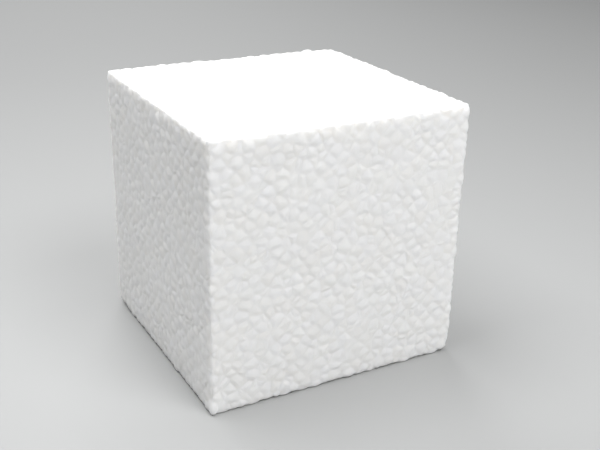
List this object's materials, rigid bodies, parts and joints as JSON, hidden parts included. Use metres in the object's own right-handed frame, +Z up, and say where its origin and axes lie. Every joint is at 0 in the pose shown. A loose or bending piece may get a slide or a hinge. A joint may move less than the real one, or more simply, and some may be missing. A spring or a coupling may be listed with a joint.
{
  "type": "foam block",
  "caption": "Solid block of white expanded polystyrene, close to a cube, for packing, padding out, pinning and model making.",
  "frame": {"origin": "centre of the base face", "axes": "+Z up, +X along the width, +Y along the depth from the front face to the back face"},
  "size_m": [0.1014, 0.098, 0.1],
  "materials": {
    "bead_foam": "white expanded polystyrene, cut surface of fused beads, dull with a faint sheen"
  },
  "bodies": {
    "root": {"foam_block": "bead_foam"}
  },
  "joints": []
}
